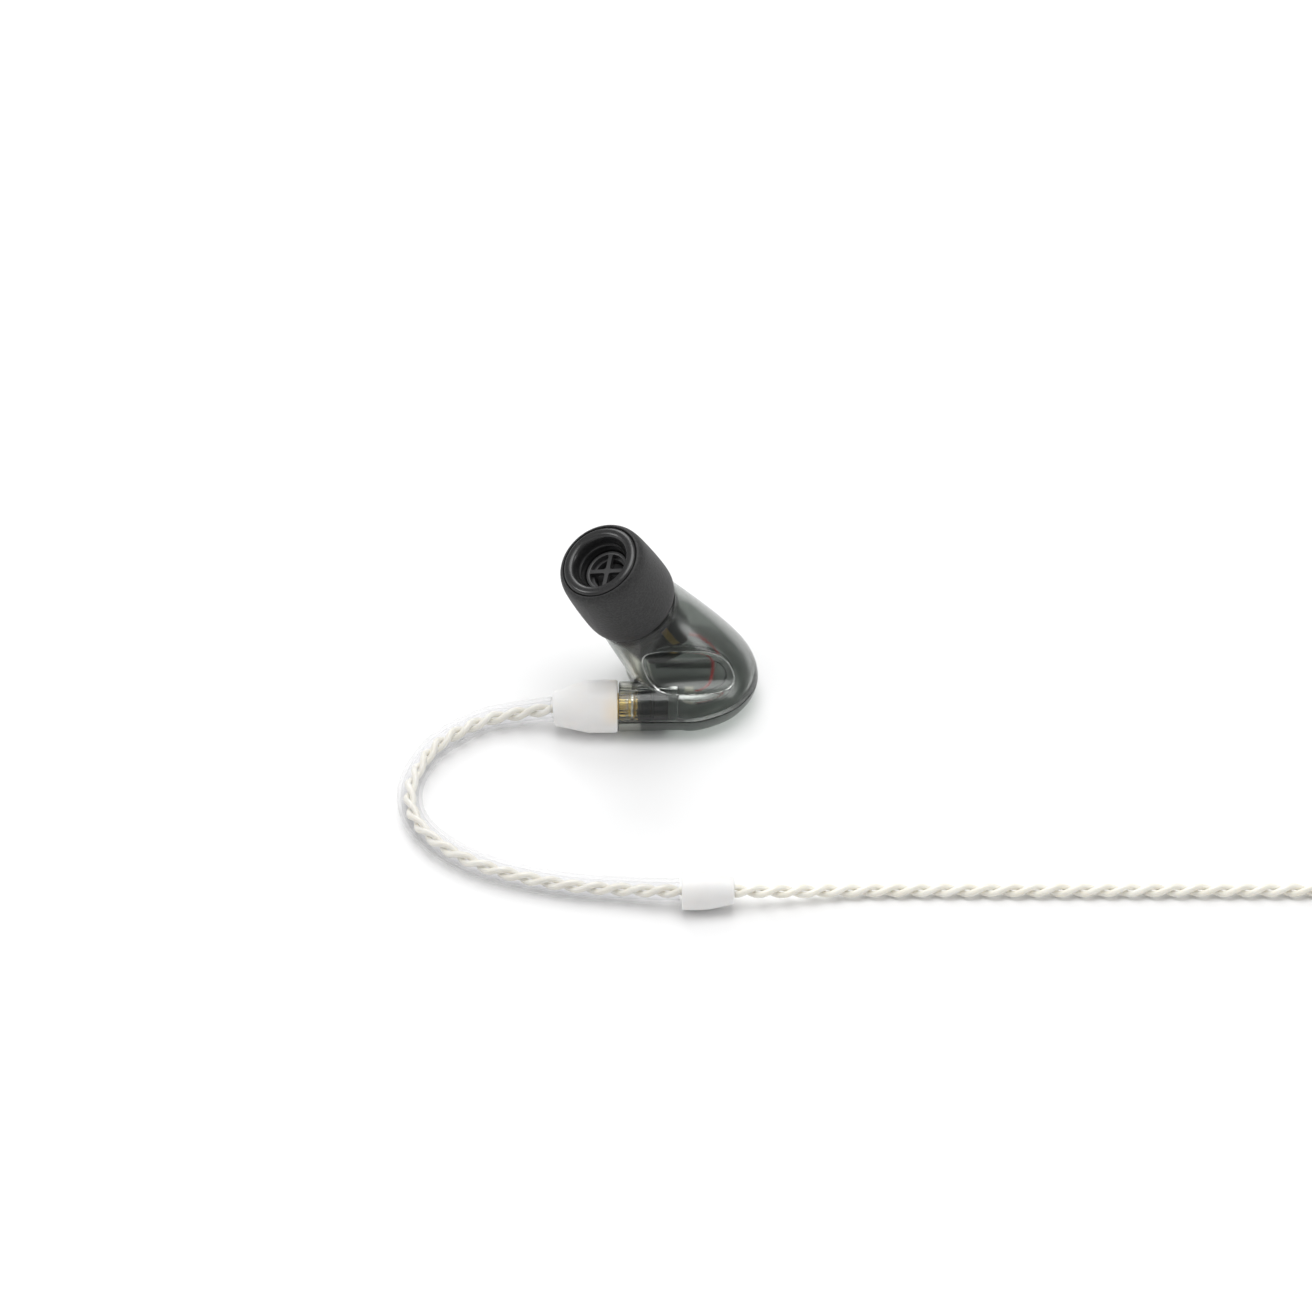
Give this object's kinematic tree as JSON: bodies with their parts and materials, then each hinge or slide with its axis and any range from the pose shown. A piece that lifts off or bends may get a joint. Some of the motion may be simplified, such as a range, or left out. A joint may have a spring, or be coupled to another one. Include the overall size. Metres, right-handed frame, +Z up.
{
  "type": "in-ear monitor",
  "caption": "In-ear monitor: a translucent smoke housing with a foam tip, a detachable swivelling plug, a clear ear hook and a twisted lead.",
  "frame": {"origin": "middle of the housing's flat outer face, which it lies on", "axes": "+Z up out of that face, +X from the plug socket's mouth into the housing, +Y away from the ear hook"},
  "size_m": [0.1519, 0.0708, 0.0267],
  "materials": {
    "housing_smoke": "translucent smoke grey, satin",
    "tip_foam": "matt, fine-grained",
    "tip_core": "satin",
    "nozzle_dark": "satin",
    "black_plastic": "satin",
    "milky_silicone": "translucent milky, satin",
    "clear_sleeve": "clear, glossy",
    "cream_strand": "glossy",
    "gold": "polished gold plate",
    "steel": "satin",
    "copper": "enamelled winding wire",
    "brass_strip": "satin",
    "red_enamel": "satin",
    "black_enamel": "satin",
    "white_liner": "satin",
    "diaphragm_film": "thin film, satin",
    "smoke_duct": "translucent, satin",
    "jack_metal": "fine turned",
    "tie_black": "woven strap"
  },
  "bodies": {
    "cable": {"boot": "milky_silicone", "plug_shell": "gold", "plug_insulator": "white_liner", "plug_pin": "gold", "ear_hook_sleeve": "clear_sleeve", "hook_strand_a": "cream_strand", "hook_strand_b": "cream_strand", "hook_collar": "milky_silicone", "lead": "cream_strand", "lead_coil": "cream_strand", "lead_tail": "cream_strand", "coil_tie": "tie_black", "jack_relief": "milky_silicone", "jack_body": "jack_metal", "jack_sleeve": "gold", "jack_band_1": "black_plastic", "jack_ring": "gold", "jack_band_2": "black_plastic", "jack_tip": "gold"},
    "snap_ring": {"snap_ring": "steel"},
    "earpiece": {"outer_shell": "housing_smoke", "inner_shell": "housing_smoke", "nozzle_tube": "nozzle_dark", "nozzle_grille": "nozzle_dark", "acoustic_screen": "black_plastic", "driver_case": "black_plastic", "driver_front_ring": "black_plastic", "driver_magnet": "steel", "driver_pole_plate": "steel", "driver_yoke": "steel", "terminal_strip": "brass_strip", "red_wire": "red_enamel", "black_wire": "black_enamel", "socket_sleeve": "gold", "socket_contact": "gold", "socket_insulator": "white_liner", "socket_carrier": "black_plastic", "socket_shroud": "black_plastic", "barrel_ring": "steel", "solder_terminal": "white_liner", "vent_duct": "smoke_duct", "vent_filter": "white_liner"},
    "diaphragm": {"diaphragm": "diaphragm_film", "voice_coil": "copper"},
    "ear_tip": {"tip_core": "tip_core", "tip_foam": "tip_foam"}
  },
  "joints": [
    {"name": "plug_swivel", "type": "hinge", "parent": "cable", "child": "snap_ring", "pos_m": [-0.0075, -0.0065, 0.0034], "axis": [1, 0, 0], "continuous": true},
    {"name": "unplug", "type": "slide", "parent": "snap_ring", "child": "earpiece", "axis": [1, 0, 0], "range_m": [0, 0.006]},
    {"name": "tip_pull_off", "type": "slide", "parent": "earpiece", "child": "ear_tip", "axis": [-0.4016, -0.245, 0.8825], "range_m": [0, 0.009]},
    {"name": "diaphragm_stroke", "type": "slide", "parent": "earpiece", "child": "diaphragm", "axis": [-0.4016, -0.245, 0.8825], "range_m": [-0.0001, 0.0001], "stiffness_N_per_m": 20}
  ]
}
